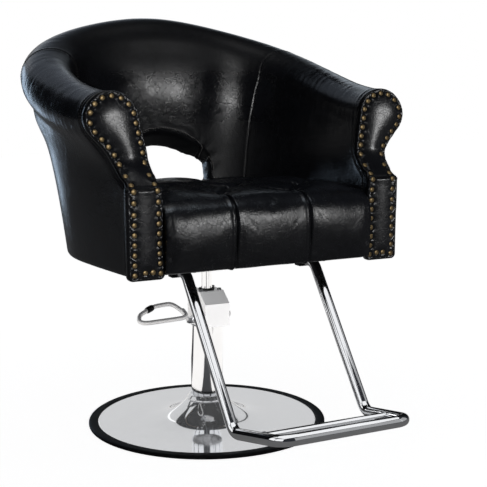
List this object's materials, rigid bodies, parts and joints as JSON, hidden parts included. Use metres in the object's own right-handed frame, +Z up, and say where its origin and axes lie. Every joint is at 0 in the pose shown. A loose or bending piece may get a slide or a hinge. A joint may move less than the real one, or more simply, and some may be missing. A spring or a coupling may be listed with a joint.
{
  "type": "styling chair",
  "caption": "Hydraulic styling chair with a rolled tub back, studded arm fronts, tufted seat, looped footrest, round floor base and side pump pedal.",
  "frame": {"origin": "the column's axis on the floor, under the base plate", "axes": "+Z up along the column, -Y the way the chair faces, +X to the right of a viewer who stands in front"},
  "size_m": [0.8508, 1.0935, 1.023],
  "materials": {
    "black_leather": "grained semi-gloss",
    "chrome": "mirror polished",
    "black_rubber": "matte",
    "steel": "zinc plated",
    "bronze": "machined",
    "antique_brass": "domed, darkened round the rim",
    "plywood": "unfinished",
    "black_cloth": "woven"
  },
  "bodies": {
    "base": {"base_plate": "steel", "floor_ring": "black_rubber", "base_cover": "chrome", "column_collar": "chrome", "column_tube": "chrome", "pump_flange": "steel", "flange_bolts": "steel", "pump_cylinder": "steel", "pump_head": "chrome", "head_screws": "steel", "rod_bush": "bronze", "rod_wiper": "black_rubber", "pedal_pin": "steel", "side_cap": "chrome"},
    "rod": {"piston_rod": "chrome", "piston": "steel", "piston_seal": "black_rubber", "swivel_bearing": "bronze"},
    "seat": {"seat_socket": "steel", "socket_bolts": "steel", "under_rails": "steel", "rail_bolts": "steel", "seat_board": "plywood", "dust_cover": "black_cloth", "seat_springs": "steel", "seat_cushion": "black_leather", "tub_shell": "black_leather", "back_frame": "plywood", "left_facing": "black_leather", "right_facing": "black_leather", "left_nails": "antique_brass", "right_nails": "antique_brass", "opening_piping": "black_leather", "footrest_frame": "chrome", "footrest_bar": "chrome", "footrest_clamps": "steel", "clamp_bolts": "steel"},
    "pedal": {"pedal_boss": "chrome", "pedal_rod": "chrome", "pedal_grip": "black_rubber"},
    "pump": {"plunger": "steel"}
  },
  "joints": [
    {"name": "lift", "type": "slide", "parent": "base", "child": "rod", "axis": [0, 0, 1], "range_m": [-0.065, 0.08]},
    {"name": "swivel", "type": "hinge", "parent": "rod", "child": "seat", "pos_m": [0, 0, 0.44], "axis": [0, 0, 1], "continuous": true},
    {"name": "pedal_press", "type": "hinge", "parent": "base", "child": "pedal", "pos_m": [-0.048, -0.04, 0.275], "axis": [0, -1, 0], "range_deg": [0, 18]},
    {"name": "plunger_stroke", "type": "slide", "parent": "base", "child": "pump", "axis": [0, 0, 1], "range_m": [0, 0.0085]}
  ],
  "couplings": [
    {"joint": "plunger_stroke", "follows": "pedal_press", "m_per_rad": 0.024}
  ]
}
